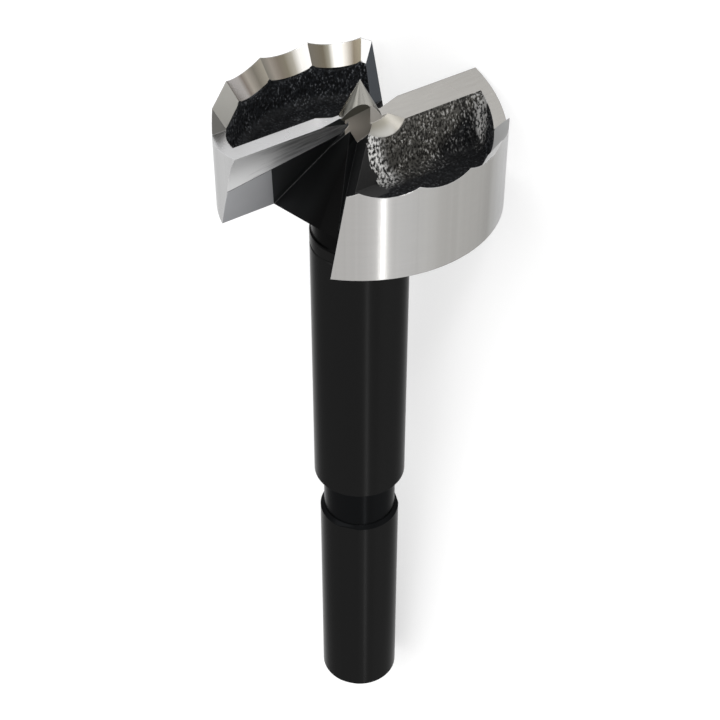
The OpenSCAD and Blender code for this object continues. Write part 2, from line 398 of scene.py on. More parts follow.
rim_facing = w.both(w.under(given["Outward"], -0.9), w.under(face_z, WALL_STEEP))
rim_wall = w.both(w.between(given["Radius"], *WALL_R), rim_facing, in_head)
floor_face = w.both(w.over(face_z, 0.99), w.between(spot_z, FLOOR - 2.0, FLOOR + 0.1))
lip_back = faces(LIP_BACK)
wall_end = w.mix(w.ease(spot_z, 81.2, FLOOR), *SMOOTH_END)
by_web = w.either(lip_back, w.both(floor_face, w.over(spot_w, SMOOTH_FLOOR)))
ridge_way = (RIDGE_TOP - RIDGE_LOW) / np.linalg.norm(RIDGE_TOP - RIDGE_LOW)
from_ridge = w.vector("SUBTRACT", given["Spot"], tuple(RIDGE_LOW))
ridge_off = w.vector("CROSS_PRODUCT", from_ridge, tuple(ridge_way))
w.send(
    made,
    {
        "Forged": w.either(rim_wall, floor_face, lip_back),
        "Smooth": w.both(by_web, w.under(spot_u, wall_end)),
        # Mask of the web's ridge, which carries a thin painted highlight line.
        "Ridge": w.ease(w.vector("LENGTH", ridge_off), 0.5, 0.3),
    },
)
print("group", face_group.name, "with", len(made) - 1, "masks")

# %% [markdown]
# ## Grinding streaks
# Grinding leaves fine lines that run one way. A photograph of brushed metal would repeat, so a noise is
# stretched along that way instead, by whoever calls the group, and a finer one is laid over it.

# %% Group: grinding streaks
FINER, FINE_SHARE = 4.3, 0.4

streak_group, w, given, made = shader_group(
    "grind_streaks", {"Vector": "Vector", "Fineness": "Float"}, {"Streaks": "Float"}
)
coarse = w.noise(given["Vector"], given["Fineness"], 3.0)
fine = w.noise(given["Vector"], w.times(given["Fineness"], FINER), 2.0)
w.send(made, {"Streaks": w.mix(FINE_SHARE, coarse, fine)})
print("group", streak_group.name)

# %% [markdown]
# ## Rounded edges
# No real edge is perfectly sharp: it is a little rounded. Bevelling the solid would change it, so the Bevel
# node gives a rounded normal, and where that differs from the plain one there is an edge. The finish paints
# that edge lighter as a painted highlight.

# %% Group: rounded edges, the mask for the painted edge highlight
EDGE_R = 0.09 * MM

edge_group, w, given, made = shader_group(
    "rounded_edges", {"Normal": "Vector"}, {"Edge": "Float", "Rounded": "Vector"}
)
rounded = w.node("ShaderNodeBevel", {"Radius": EDGE_R}, samples=6).outputs[0]
same = w.vector("DOT_PRODUCT", rounded, given["Normal"])
w.send(made, {"Edge": w.ease(same, 0.995, 0.90), "Rounded": rounded})
print("group", edge_group.name)

# %% [markdown]
# ## Where the crust changes
# Forging leaves a scaly black crust. Behind the lip it is browner and painted lighter, as painted light,
# with painted glints, most of all beside the hub and along the rim. Lower down, in a fold and past the rim's
# corner it is painted darker, as painted shade. The group first works out these stretches.

# %% Group: forged crust, its stretches
BEHIND_LIP = (-6.0, -4.6)
WALL_LEAN, WALL_FOOT = 0.268, 25.24
DEEP_AT, DEEP_RISE, DEEP_FROM = 78.2, 0.62, 5.5

crust_group, w, given, made = shader_group(
    "forged_crust",
    {"Vector": "Vector", "Facing": "Vector"},
    {"Height": "Float", "Colour": "Color", "Roughness": "Float"},
)
crust_u, crust_w, crust_z = w.split(given["Vector"])
behind_lip = w.ease(crust_w, *BEHIND_LIP)
hub_line = w.mix(w.ease(crust_z, 81.5, 77.0), -0.9, 1.1)
by_hub = w.both(behind_lip, w.ease(w.less(crust_u, hub_line), 2.0, 0.7))
off_wall = w.less(w.times(WALL_LEAN, crust_z), w.plus(crust_w, WALL_FOOT))
past_rim = w.both(behind_lip, w.ease(crust_u, 11.2, 11.8), w.ease(off_wall, 1.4, 1.9))
by_rim = w.both(behind_lip, w.ease(crust_u, 12.0, 12.4), w.ease(off_wall, 1.9, 1.4))
fold = w.both(behind_lip, w.ease(crust_u, 10.1, 10.8), w.ease(crust_u, 11.7, 11.1))
deep = w.less(crust_z, w.plus(DEEP_AT, w.times(DEEP_RISE, w.less(crust_u, DEEP_FROM))))
lying = w.ease(w.split(given["Facing"])[2], 0.35, 0.9)
print("stretches of the crust told apart")

# %% [markdown]
# ## The crust's colour
# Scale is dull, so its colours are those of a rough dark mineral. Grains and clumps give its relief and dark
# pits, and wide patches give its browner places. The brightest grains are painted as specks and glints,
# which are painted highlights, fewer lower down outside the wall behind the lip. Faces that lie level are
# painted darker, as painted shade.

# %% Group: forged crust, its colour
UPRIGHT = 0.6
GRAINS, CLUMPS, GLINTS, PATCHES = 4.6, 2.0, 4.0, 0.7
SCALE_BLACK = (0.0145, 0.016, 0.0185, 1)
SCALE_BROWN, SCALE_PALE = (0.115, 0.110, 0.098, 1), (0.150, 0.143, 0.128, 1)
# Black for pits and for painted shade, and a black for level faces, also painted shade.
PIT_AND_SHADE_BLACK, LEVEL_SHADE_BLACK = (0.004, 0.004, 0.004, 1), (0.006, 0.006, 0.0065, 1)
# A grey and a white for painted glints.
SPECK_GLINT_GREY, GLINT_WHITE = (0.24, 0.25, 0.265, 1), (0.90, 0.89, 0.87, 1)

upright = w.join(crust_u, crust_w, w.times(UPRIGHT, crust_z))
grains, clumps = w.noise(upright, GRAINS, 2.0), w.noise(upright, CLUMPS, 2.0)
glints, patches = w.noise(upright, GLINTS, 2.5), w.noise(given["Vector"], PATCHES, 3.0)
# Share of brown: from its own wide patches, less of it lower down, in the fold and past the rim's corner as
# painted shade, and less by the hub. Brown lies only behind the lip, where it is painted lighter, as painted
# light.
brown_and_painted_shade = w.both(
    w.mix(w.ease(patches, 0.34, 0.62), 0.7, 1.0),
    w.mix(w.ease(deep, -0.2, 2.0), 0.12, 1.0),
    w.mix(fold, 1.0, 0.5),
    w.mix(past_rim, 1.0, 0.0),
    w.mix(by_hub, 1.0, 0.35),
    behind_lip,
)
dark = w.colour(brown_and_painted_shade, SCALE_BLACK, w.colour(w.ease(crust_z, 82.6, 83.8), SCALE_BROWN, SCALE_PALE))
dark = w.colour(w.times(0.85, w.ease(grains, 0.55, 0.38)), dark, PIT_AND_SHADE_BLACK)
# Past the rim's corner the crust is painted darker still: painted shade.
dark = w.colour(w.times(0.6, past_rim), dark, PIT_AND_SHADE_BLACK)
# Specks and glints are painted highlights in the colour.
often = w.both(
    w.times(0.5, w.ease(patches, 0.34, 0.60)),
    w.mix(behind_lip, 1.0, w.mix(w.ease(deep, -1.5, 1.0), 0.35, 1.0)),
)
speck_glints = w.times(w.ease(grains, 0.56, 0.66), often)
gleams = w.both(w.ease(glints, 0.42, 0.58), w.either(by_hub, w.times(0.5, by_rim)))
crust_tone = w.colour(w.either(speck_glints, gleams), dark, w.colour(behind_lip, SPECK_GLINT_GREY, GLINT_WHITE))
# Faces that lie level are painted darker: painted shade.
w.send(
    made,
    {
        "Height": w.mix(0.5, grains, clumps),
        "Colour": w.colour(w.times(0.6, lying), crust_tone, LEVEL_SHADE_BLACK),
        "Roughness": w.mix(w.ease(grains, 0.4, 0.6), 0.62, 0.42),
    },
)
print("group", crust_group.name, "with", len(crust_group.nodes), "nodes")

# %% [markdown]
# ## The bit's finish
# One material covers the whole piece: black oxide lies all over, and each ground face is laid over it by its
# mask. Black oxide is a thin skin on steel that mirrors only one or two hundredths of the light, so it is a
# metal with a very dark colour here. Only the forged crust is dull and no metal. Separate materials for each
# face would need the solid cut up, so one tree works out the face at every spot instead. Most greys here
# stand for the light that the faces mirror. They are painted reflections, painted light and painted shade,
# set face by face and different on the two halves, so they stay put under other light.

# %% Material: where each spot is
steel, w = empty_material("bit_steel")
where = w.node("ShaderNodeTexCoord", {}).outputs
plain = w.node("ShaderNodeNewGeometry", {}).outputs
spot = w.group(spot_group, Place=where["Object"], Facing=plain["True Normal"])
part = w.group(face_group, **{label: spot[label] for label in ("Spot", "Facing", "Radius", "Outward")})
edges = w.group(edge_group, Normal=plain["Normal"])
crust = w.group(crust_group, Vector=spot["Spot"], Facing=spot["Facing"])
spot_u, spot_w, spot_z = w.split(spot["Spot"])
angle = spot["Angle"]
first_half = w.over(spot["Half"], 0.0)
steel_mask = w.either(*(part[label] for label in GROUND))
broad = w.noise(spot["Spot"], 0.22, 2.0)


def points(way):
    """Mask of the faces that point `way`."""
    return w.over(w.vector("DOT_PRODUCT", spot["Facing"], way), SAME_WAY)


def streaks(first, slow, second, fast, fineness):
    """Grinding lines over two coordinates; they run along the one with the smaller factor."""
    stretched = w.join(w.times(slow, first), w.times(fast, second), 0.0)
    return w.group(streak_group, Vector=stretched, Fineness=fineness)[0]


print("masks of", len(GROUND), "ground faces laid out")

# %% [markdown]
# ## The land
# The land is the ground band round the head, with fine lines round it. Polished steel shows the room it
# stands in, dark in some directions and bright in others. That room isn't built here, so the broad bands of
# light and dark are painted into the colour as a painted reflection. A ramp round the head, in degrees
# behind the lip, gives them, with softer bands from a noise along the angle.

# %% Material: the land
LAND_SPAN, BAND_SIZE, BAND_START = 160.0, 0.35, 3.0
LAND_DIM, LAND_BRIGHT = grey(0.86), grey(1.12)
# Greys round the head: a painted reflection of the room.
LAND_REFLECTION_STOPS = (
    (0.0, grey(0.40, (0.02, 0, -0.03))),
    (0.19, grey(0.42, (0.02, 0, -0.03))),
    (0.33, grey(0.47, (0.01, 0, -0.02))),
    (0.42, grey(0.33, (0.02, 0, -0.04))),
    (0.58, grey(0.36, (0.02, 0, -0.04))),
    (0.68, grey(0.86)),
    (1.0, grey(0.60)),
)

round_lines = streaks(angle, 0.02, spot_z, 1.4, 2.2)
# Soft bands along the angle: a painted reflection. The fine lines round the head are grinding lines.
reflection_bands = w.noise(w.join(w.times(BAND_SIZE, angle), BAND_START, 0.0), 1.0, 2.0)
round_head = w.calc("DIVIDE", w.plus(angle, LAND_SPAN), LAND_SPAN)
land_lines = w.colour(w.mix(0.35, reflection_bands, round_lines), LAND_DIM, LAND_BRIGHT)
land_tone = w.colour(1.0, w.ramp(round_head, LAND_REFLECTION_STOPS), land_lines, "MULTIPLY")
print("land with", len(LAND_REFLECTION_STOPS), "stops")

# %% [markdown]
# ## The lips
# Behind each cutting edge the lip is ground flat, with lines along it. One lip lies towards the bright side
# of the room and one away from it, so each half has its own pair of greys: a lit and a shaded copy of the
# same steel, painted light and painted shade.

# %% Material: the lips
# A lit pair of greys for one lip and a shaded pair for the other: painted light and painted shade.
LIP_LIT = grey(0.60), grey(0.76, (0, 0, 0.02))
LIP_SHADED = grey(0.35, (0.03, 0, -0.05)), grey(0.46, (0.03, 0, -0.05))

lip_lines = streaks(spot_u, 0.12, spot_w, 1.2, 2.4)
lit_lip = w.colour(w.mix(0.4, broad, lip_lines), *LIP_LIT)
lip_tone = w.colour(first_half, w.colour(lip_lines, *LIP_SHADED), lit_lip)
print("lips in two tones")

# %% [markdown]
# ## The scallops
# The rim's inner bevel is cut by a row of concave scallops, and each mirrors the whole room from side to
# side. Three ramps across a scallop paint that reflection into the colour, one for each scallop in turn: a
# painted reflection. The facet beside the lip, the last stretch and the strip by the tooth have painted
# reflections of their own.

# %% Material: the scallops
WAVE_PITCH, WAVE_FIRST, TOOTH_STRIP, FACET_FROM = 22.64, 57.4, 8.0, -42.0
WHOLE_TURNS = 10
# Greys of the facet beside the lip, the last scallops and the strip by the tooth: painted reflections.
FACET_PALE, FACET_DARK = grey(0.48, (0.02, 0, -0.06)), grey(0.17, (0.03, 0, -0.06))
FACET_OTHER = grey(0.52)
LAST_WAVES, BY_TOOTH = grey(0.92), grey(0.8)
# Stops across a scallop, one set per scallop: painted reflections of the room.
FIRST_STOPS = (
    (0.0, (0.27, 0.25, 0.23, 1)),
    (0.08, (0.40, 0.38, 0.37, 1)),
    (0.36, (0.38, 0.36, 0.345, 1)),
    (0.47, (0.21, 0.18, 0.155, 1)),
    (0.58, (0.34, 0.31, 0.27, 1)),
    (0.78, (0.17, 0.155, 0.13, 1)),
    (1.0, (0.30, 0.275, 0.23, 1)),
)
MID_STOPS = (
    (0.0, (0.19, 0.18, 0.155, 1)),
    (0.18, (0.29, 0.26, 0.225, 1)),
    (0.36, (0.185, 0.16, 0.13, 1)),
    (0.50, (0.19, 0.17, 0.13, 1)),
    (0.66, (0.40, 0.375, 0.32, 1)),
    (0.80, (0.92, 0.90, 0.86, 1)),
    (1.0, (0.95, 0.93, 0.90, 1)),
)
LATE_STOPS = (
    (0.0, (0.155, 0.142, 0.12, 1)),
    (0.28, (0.165, 0.143, 0.105, 1)),
    (0.38, (0.32, 0.30, 0.245, 1)),
    (0.47, (0.90, 0.88, 0.84, 1)),
    (0.60, (0.90, 0.88, 0.84, 1)),
    (0.72, (0.67, 0.63, 0.57, 1)),
    (0.86, (0.23, 0.195, 0.145, 1)),
    (1.0, (0.25, 0.22, 0.165, 1)),
)
WAVE_REFLECTION_STOPS = (FIRST_STOPS, MID_STOPS, LATE_STOPS)


def past_wave(number):
    """Mask of the rim behind the start of scallop `number`, counted from 0 at the lip."""
    return w.under(angle, -(WAVE_FIRST + number * WAVE_PITCH))


# Whole turns are added so that the share of a scallop is counted from a number above 0.
in_waves = w.calc("DIVIDE", w.plus(angle, WAVE_FIRST + WHOLE_TURNS * WAVE_PITCH), WAVE_PITCH)
across_wave = w.less(1.0, w.calc("FRACT", in_waves))
relief_end = w.both(first_half, points(RELIEF_END), w.over(angle, FACET_FROM))
wave_tone = w.colour(first_half, FACET_OTHER, w.colour(relief_end, FACET_PALE, FACET_DARK))
for number, stops in enumerate(WAVE_REFLECTION_STOPS):
    wave_tone = w.colour(past_wave(number), wave_tone, w.ramp(across_wave, stops))
wave_tone = w.colour(past_wave(len(WAVE_REFLECTION_STOPS)), wave_tone, LAST_WAVES)
by_tooth = w.both(w.less(1.0, first_half), w.between(angle, -WAVE_FIRST - TOOTH_STRIP, -WAVE_FIRST))
wave_tone = w.colour(by_tooth, wave_tone, BY_TOOTH)
print("scallops", WAVE_PITCH, "degrees apart")

# %% [markdown]
# ## The rake hollow and the front below it
# Under each lip a cone is ground out. Its wheel marks fan out from a point beyond the axis, so the streaks
# follow that fan. Their greys are a painted reflection, painted lighter towards the rim, with bright painted
# highlight lines near the hub. The front below was milled smooth, and its greys stand for what it mirrors,
# also a painted reflection.

# %% Material: rake hollow and front
FAN_FROM, FAN_FINE, FAN_PAINTED_LIGHT, FAN_MIDDLE = 8.4, 22.0, 0.035, 8.5
# Greys of the hollow's streaks, its highlight lines and the front below: painted reflection and painted
# highlights.
RAKE_TONES, RAKE_LINE_HIGHLIGHT = (grey(0.30, (0, 0.01, 0.03)), grey(0.66)), grey(0.95)
BLANK_TONES = grey(0.43, (0, 0.01, 0.04)), grey(0.51, (0, 0.01, 0.04))

rake_fan = w.calc("DIVIDE", w.less(LIP_TOP, spot_z), w.plus(spot_u, FAN_FROM))
rake_lines = streaks(spot_u, 0.10, rake_fan, FAN_FINE, 1.3)
# Lighter towards the rim: painted light.
rake_light = w.plus(rake_lines, w.times(FAN_PAINTED_LIGHT, w.less(spot_u, FAN_MIDDLE)))
rake_tone = w.colour(w.ease(rake_light, 0.32, 0.62), *RAKE_TONES)
# Bright lines near the hub: painted highlights along the streaks.
inner_highlight_lines = w.both(w.ease(spot_u, 9.0, 5.0), w.ease(rake_lines, 0.30, 0.62))
rake_tone = w.colour(inner_highlight_lines, rake_tone, RAKE_LINE_HIGHLIGHT)
blank_tone = w.colour(broad, *BLANK_TONES)
print("rake hollow and front ready")

# %% [markdown]
# ## The spur and its notches
# The spur is a ground cone with two flats, and a round cutter left a notch beside it on each half. They
# stand among dark faces and mirror them, so they are painted browner and darker than the lips, most of all
# on the side of the gaps: a painted reflection. The flats are painted darker towards the top. The notches'
# greys across their round, at their end and on their wall are painted reflections too.

# %% Material: spur and notches
# Greys of the spur, its flats and the notches: painted reflections.
SPUR_TONES = grey(0.27, (0.03, 0, -0.08)), grey(0.36, (0.03, 0, -0.08))
SPUR_DARK_REFLECTION_TONES = grey(0.11, (0.02, 0, -0.10)), grey(0.18, (0.02, 0, -0.10))
FLAT_TONES = grey(0.22, (0.07, 0, -0.13)), grey(0.37, (0.1, 0, -0.13))
NOTCH_TONES = grey(0.28, (0.05, 0, -0.14)), grey(0.46, (0.02, 0, -0.06))
NOTCH_END, NOTCH_WALL_TONE = grey(0.30, (0.05, 0, -0.10)), grey(0.6, (0.04, 0, -0.06))

spur_lines = w.ease(streaks(angle, 0.03, spot_z, 0.1, 2.0), 0.25, 0.75)
# The side of the gaps is painted darker, a painted reflection of the dark faces there.
gap_side = w.either(w.ease(angle, -45.0, -15.0), w.times(0.7, w.ease(angle, -118.0, -150.0)))
spur_tone = w.colour(gap_side, w.colour(spur_lines, *SPUR_TONES), w.colour(spur_lines, *SPUR_DARK_REFLECTION_TONES))
# The flats are painted darker towards the top.
flat_tone = w.colour(w.ease(spot_z, 86.0, 83.5), *FLAT_TONES)
# Across the notch, at its end and on its wall the greys are painted reflections.
notch_tone = w.colour(w.ease(spot_w, -1.6, -2.7), *NOTCH_TONES)
notch_tone = w.colour(w.ease(spot_u, 1.9, 2.7), notch_tone, NOTCH_END)
at_notch_wall = w.over(spot_w, NOTCH_BACK - 0.02)
notch_tone = w.colour(at_notch_wall, notch_tone, NOTCH_WALL_TONE)
print("spur and notches ready")

# %% [markdown]
# ## Black oxide
# The shank and the web are blackened. Oxide is nearly even, with a fine grain. The web's ramp is painted
# darker ahead of the lip and on the far half, and the groove, from the chamfer at the chuck end up, darker
# still: painted shade. The neck is darker too. The undercut front and the web's back are painted paler:
# painted light.

# %% Material: black oxide
GROOVE, NECK_FROM = (29.95, 35.8), 70.9
OXIDE_TONES = grey(0.014, (0, 0.04, 0.06)), grey(0.022, (0, 0.04, 0.06))
# Ramp greys, and a paler grey for the front and the web's back: painted shade and painted light on the one
# oxide.
RAMP_TONES = grey(0.022, (0, 0.04, 0.08)), grey(0.0135, (0, 0.04, 0.06))
RAMP_END, RAMP_FAR_SHADE, WEB_PAINTED_LIGHT = grey(0.006), grey(0.0075), grey(0.036, (0, 0.04, 0.08))
SHANK_TONES = grey(0.011), grey(0.015)
# A darker grey for the groove, painted shade, and the neck's grey.
GROOVE_SHADE_TONE, NECK_TONE = grey(0.0065, (0, 0.05, 0.12)), grey(0.005)

oxide_grain = w.noise(spot["Spot"], 7.0, 3.0)
# The ramp is painted darker ahead of the lip: painted shade.
ramp_tone = w.colour(w.ease(spot_w, -2.7, -0.3), *RAMP_TONES)
ramp_tone = w.colour(w.ease(spot_w, -0.3, 2.3), ramp_tone, RAMP_END)
base = w.colour(points(WEB_RAMP), w.colour(oxide_grain, *OXIDE_TONES), ramp_tone)
# The far half's ramp is painted darker: painted shade.
base = w.colour(points(half_turn(WEB_RAMP)), base, RAMP_FAR_SHADE)
# The undercut front and the web's back are painted paler: painted light.
base = w.colour(w.either(points(LEADING), points(WEB_BACK)), base, WEB_PAINTED_LIGHT)
on_shank = w.under(spot_z, UNDERSIDE - 0.01)
base = w.colour(on_shank, base, w.colour(oxide_grain, *SHANK_TONES))
# The groove is painted darker: painted shade.
base = w.colour(w.both(on_shank, w.between(spot_z, *GROOVE)), base, GROOVE_SHADE_TONE)
base = w.colour(w.both(on_shank, w.over(spot_z, NECK_FROM)), base, NECK_TONE)
print("groove from", GROOVE[0], "to", GROOVE[1], "mm")

# %% [markdown]
# ## Colour, one face over the next
# The forged faces lie over the oxide, the ground ones over both, and a painted edge highlight over all.
# Oxide has none of it, except along the web's ridge.

# %% Material: colour
SMOOTH_TONE, EDGE_HIGHLIGHT_TONE = grey(0.07), grey(0.55)
# Flat greys for the rim's end and the brow: painted reflections of what they mirror.
RIM_END_TONE, BROW_TONE = grey(0.082, (-0.08, 0, 0.11)), grey(0.12, (0.05, 0, -0.18))
# Shares of the painted edge highlight on the web's ridge and on the ground steel.
RIDGE_HIGHLIGHT, STEEL_EDGE_HIGHLIGHT = 0.22, 0.5

base = w.colour(part["Forged"], base, crust["Colour"])
base = w.colour(part["Smooth"], base, SMOOTH_TONE)
ground_tones = (
    land_tone,
    lip_tone,
    wave_tone,
    RIM_END_TONE,
    rake_tone,
    blank_tone,
    spur_tone,
    flat_tone,
    BROW_TONE,
    notch_tone,
)
for label, tone in zip(GROUND, ground_tones):
    base = w.colour(part[label], base, tone)
# Edges are painted lighter as a painted highlight: on the ground steel, and elsewhere only along the web's
# ridge.
oxide_edge_highlight = w.mix(part["Ridge"], 0.0, RIDGE_HIGHLIGHT)
base = w.colour(w.times(edges["Edge"], w.mix(steel_mask, oxide_edge_highlight, STEEL_EDGE_HIGHLIGHT)), base, EDGE_HIGHLIGHT_TONE)
print(len(ground_tones), "tones over the oxide")

# %% [markdown]
# ## Gloss and fine relief
# The land is the smoothest, then the other ground faces. Tucked-in faces would mirror rooms that aren't
# there, so they are rougher. Fine relief comes from the turning lines of the shank, the grinding and the
# crust, as bumps in the normal: they are less than a tenth of a millimetre high and would never show in an
# outline.

# %% Material: gloss and relief
SHANK_ROUGH, OXIDE_ROUGH, SMOOTH_ROUGH, HOLLOW_ROUGH, TUCKED_ROUGH = 0.24, 0.55, 0.7, 0.45, 0.7
STEEL_ROUGH, LAND_ROUGH = (0.22, 0.30), (0.15, 0.20)
TURNING, CRUST_RELIEF, BUMP, BUMP_DEPTH = 9.0, 12.0, 0.5, 0.006 * MM

rough = w.mix(on_shank, OXIDE_ROUGH, SHANK_ROUGH)
rough = w.mix(part["Forged"], rough, crust["Roughness"])
rough = w.mix(part["Smooth"], rough, SMOOTH_ROUGH)
rough = w.mix(steel_mask, rough, w.mix(broad, *STEEL_ROUGH))
rough = w.mix(part["Land"], rough, w.mix(broad, *LAND_ROUGH))
hollows = w.either(part["Blank"], part["Rake"], part["Spur flat"], part["Notch"])
rough = w.mix(hollows, rough, HOLLOW_ROUGH)
last_tooth = w.mix(first_half, -WAVE_FIRST - TOOTH_STRIP, -WAVE_FIRST)
by_lip = w.both(part["Waves"], w.over(angle, last_tooth))
tucked = w.either(part["Brow"], w.both(part["Notch"], at_notch_wall), by_lip)
rough = w.mix(tucked, rough, TUCKED_ROUGH)

turning = w.noise(w.join(0.0, 0.0, spot_z), TURNING, 2.0)
bumps = w.mix(on_shank, w.times(0.2, oxide_grain), w.mix(0.5, turning, oxide_grain))
bumps = w.mix(part["Forged"], bumps, w.times(CRUST_RELIEF, crust["Height"]))
bumps = w.mix(steel_mask, bumps, w.mix(0.5, round_lines, lip_lines))
relief = {"Strength": BUMP, "Distance": BUMP_DEPTH, "Height": bumps, "Normal": edges["Rounded"]}
normal = w.node("ShaderNodeBump", relief).outputs[0]
print("roughness from", LAND_ROUGH[0], "to", TUCKED_ROUGH)

# %% [markdown]
# ## Putting the finish on
# Real steel mirrors a little less at a glancing view than an ideal metal does, which the edge tint allows
# for.

# %% Material: put together
EDGE_TINT, OXIDE_GLOSS = 0.55, 0.1

surface = w.node(
    "ShaderNodeBsdfPrincipled",
    {
        "Base Color": base,
        "Metallic": w.less(1.0, w.times(part["Forged"], w.less(1.0, part["Smooth"]))),
        "Roughness": rough,
        "Specular IOR Level": OXIDE_GLOSS,
        "Specular Tint": grey(EDGE_TINT),
        "Normal": normal,
    },
)
w.node("ShaderNodeOutputMaterial", {"Surface": surface.outputs[0]})
bit.data.materials.clear()
bit.data.materials.append(steel)
print("material", steel.name, "with", len(steel.node_tree.nodes), "nodes")

# %% [markdown]
# ## The forged crust in the pockets
# Behind each lip is a pocket that was forged and never ground: its walls run into its floor in a round, and
# its skin is lumpy. The solid has the pocket's plain walls. A skin a tenth of a millimetre thick is laid on
# them here: the plan of the pocket carried along a profile that goes down the wall, round the corner and
# out over the floor, with lumps added along its normal. Its borders dip into the solid, so that no rim
# shows.

# %% The pocket's plan
RIM_R, RIM_TOP, RIM_DRAFT = 13.6, 83.40, math.radians(4)
BAND_BACK, BAND_TOP, BACK_DRAFT = 2.6, 84.42, math.radians(15)
CORNER_R, RIM_END_ANGLE = 0.6, math.radians(-126.0)
HUB_HEIGHTS, HUB_ENDS = (79.0, 81.2, 83.7), (-0.15, -1.25, -0.8)
RIM_STEPS, CORNER_STEPS, BACK_STEPS = 260, 16, 160
PLAN_STEPS = RIM_STEPS + CORNER_STEPS + BACK_STEPS


def pocket_plan(height):
    """Plan of the wall at each height, one row per height and one column per step, and its inward way.

    The rim is a circle of radius RIM_R less its draft; the wall behind the lip is the line w = -BAND_BACK
    less its draft; a circle of radius CORNER_R touches both. The three stretches follow each other in one
    array. Towards the spur the wall ends at a line that slants away from it lower down.
    """
    height = np.broadcast_to(height, (np.shape(height)[0], PLAN_STEPS))
    rim = RIM_R - (RIM_TOP - height) * math.tan(RIM_DRAFT)
    wall = -BAND_BACK - (BAND_TOP - height) * math.tan(BACK_DRAFT)
    centre_w = wall - CORNER_R
    centre_u = np.sqrt((rim - CORNER_R) ** 2 - centre_w**2)
    meets = np.arctan2(centre_w, centre_u)
    first = np.linspace(0, 1, RIM_STEPS, endpoint=False)
    second = np.linspace(0, 1, CORNER_STEPS, endpoint=False)
    third = np.linspace(0, 1, BACK_STEPS)
    a, b = RIM_STEPS, RIM_STEPS + CORNER_STEPS
    turn = np.empty_like(height)
    turn[:, :a] = RIM_END_ANGLE + (meets[:, :a] - RIM_END_ANGLE) * first
    turn[:, a:b] = meets[:, a:b] + (math.pi / 2 - meets[:, a:b]) * second
    turn[:, b:] = math.pi / 2
    u = np.empty_like(height)
    v = np.empty_like(height)
    u[:, :a], v[:, :a] = rim[:, :a] * np.cos(turn[:, :a]), rim[:, :a] * np.sin(turn[:, :a])
    u[:, a:b] = centre_u[:, a:b] + CORNER_R * np.cos(turn[:, a:b])
    v[:, a:b] = centre_w[:, a:b] + CORNER_R * np.sin(turn[:, a:b])
    hub_end = np.interp(height[:, b:], HUB_HEIGHTS, HUB_ENDS)
    u[:, b:] = centre_u[:, b:] + (hub_end - centre_u[:, b:]) * third
    v[:, b:] = wall[:, b:]
    return u, v, -np.cos(turn), -np.sin(turn)


print("plan of", PLAN_STEPS, "steps")

# %% [markdown]
# ## The crust's upper border
# The crust ends where grinding took it away: under the scallops, the lip and the notch. These surfaces are
# known, so the border is worked out from them instead of being traced.

# %% The pocket's upper border
WAVE_R, BEVEL = 7.5, math.radians(55)
TOOTH_FROM, TOOTH_LOW, TOOTH_SLOPE, NOTCH_REACH = -7.7, 83.09, 1.216, -5


def wall_top(u, v):
    """Upper border of the crust: under the scallops, the lip's relief, the band behind it and the notch.

    A scallop is an arc of radius WAVE_R on a bevel, so its border sags by the arc's depth over cos BEVEL.
    The lip falls off at LIP_RELIEF degrees and ends in the last tooth, which rises by TOOTH_SLOPE. Under
    the notch the border is the lower one of the two heights at which the notch's cylinder is met.
    """
    angle = np.degrees(np.arctan2(v, u))
    phase = np.mod(-angle - WAVE_FIRST, WAVE_PITCH) - WAVE_PITCH / 2
    reach = RIM_R * np.sin(np.radians(phase))
    edge = RIM_R * math.sin(math.radians(WAVE_PITCH / 2))
    sag = (np.sqrt(WAVE_R**2 - reach**2) - math.sqrt(WAVE_R**2 - edge**2)) / math.cos(BEVEL)
    scallop = np.where(angle < WAVE_PITCH - WAVE_FIRST, RIM_TOP - sag, CREST)
    relief = LIP_TOP + (v - AHEAD) * math.tan(math.radians(LIP_RELIEF))
    tooth = TOOTH_LOW + (TOOTH_FROM - v) * TOOTH_SLOPE
    relief = np.where(v < TOOTH_FROM, np.maximum(relief, tooth), relief)
    way = np.array(NOTCH_WAY)
    aside = np.stack([u - NOTCH_FROM[0], v - NOTCH_FROM[1], np.zeros_like(u)], axis=-1)
    shadow = aside @ way
    inside = (shadow * way[2]) ** 2 - (1 - way[2] ** 2) * ((aside**2).sum(-1) - shadow**2 - NOTCH_R**2)
    under = NOTCH_FROM[2] + (shadow * way[2] - np.sqrt(np.clip(inside, 0, None))) / (1 - way[2] ** 2)
    behind = np.where((inside > 0) & (v > NOTCH_REACH), under, CREST)
    return np.minimum(np.minimum(scallop, relief), np.minimum(behind, BAND_TOP))


print("scallop radius", WAVE_R, "mm")

# %% [markdown]
# ## The crust's lumps and its skin
# Forged scale has no pattern, so its lumps are a sum of waves in random directions, in three sizes. The
# border's height depends on the plan and the plan on the height, so a few rounds settle both.

# %% The pocket's skin
FOOT_R, FLOOR_RUN, IN_RIM = 1.2, 4.2, 14.0
WALL_STEPS, FOOT_STEPS, FLOOR_STEPS = 50, 20, 28
START_HEIGHT, ROUNDS, UNDER_EDGE, FLOOR_DIP = 82.5, 3, 0.04, 0.06
BORDER_TOP, BORDER_LOW, BORDER_SIDE, BORDER_DIP = 40, 14, 40, 0.03
LUMP_WAVES, RISE, LOWEST, HIGHEST = 28, 0.10, 0.02, 0.3
LUMPS = ((0.025, 3.0), (0.02, 0.9), (0.014, 0.45))


